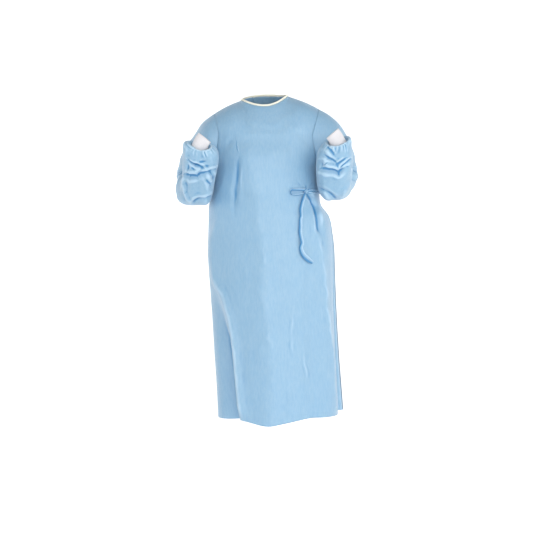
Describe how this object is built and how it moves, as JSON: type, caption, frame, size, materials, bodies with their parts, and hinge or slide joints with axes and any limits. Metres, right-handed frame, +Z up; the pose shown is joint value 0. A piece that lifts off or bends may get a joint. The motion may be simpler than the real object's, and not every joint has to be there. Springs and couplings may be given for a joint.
{
  "type": "surgical gown",
  "caption": "Wrap-around surgical gown of blue nonwoven cloth, worn and hollow, with raised bent sleeves, knit cuffs, bound neck and a tied belt.",
  "frame": {"origin": "midway between the two points where the neck edge meets the shoulders, where the wearer holds the gown up", "axes": "+X towards the wearer's left, -Y towards the front, +Z up"},
  "size_m": [0.656, 0.4213, 1.1734],
  "materials": {
    "blue_nonwoven": "matte spunbond nonwoven with a faint dimple pattern and a soft sheen",
    "blue_tie": "the same nonwoven, folded and stitched into a strip",
    "white_knit": "soft ribbed knit",
    "cream_tape": "folded bias tape"
  },
  "bodies": {
    "root": {"front_panel": "blue_nonwoven", "back_panel_outer": "blue_nonwoven", "back_panel_inner": "blue_nonwoven", "sleeve_left": "blue_nonwoven", "sleeve_right": "blue_nonwoven", "cuff_left": "white_knit", "cuff_right": "white_knit", "neck_binding": "cream_tape", "neck_tab": "blue_tie", "belt_band": "blue_tie", "belt_knot": "blue_tie", "belt_loop": "blue_tie", "belt_end": "blue_tie"}
  },
  "joints": []
}
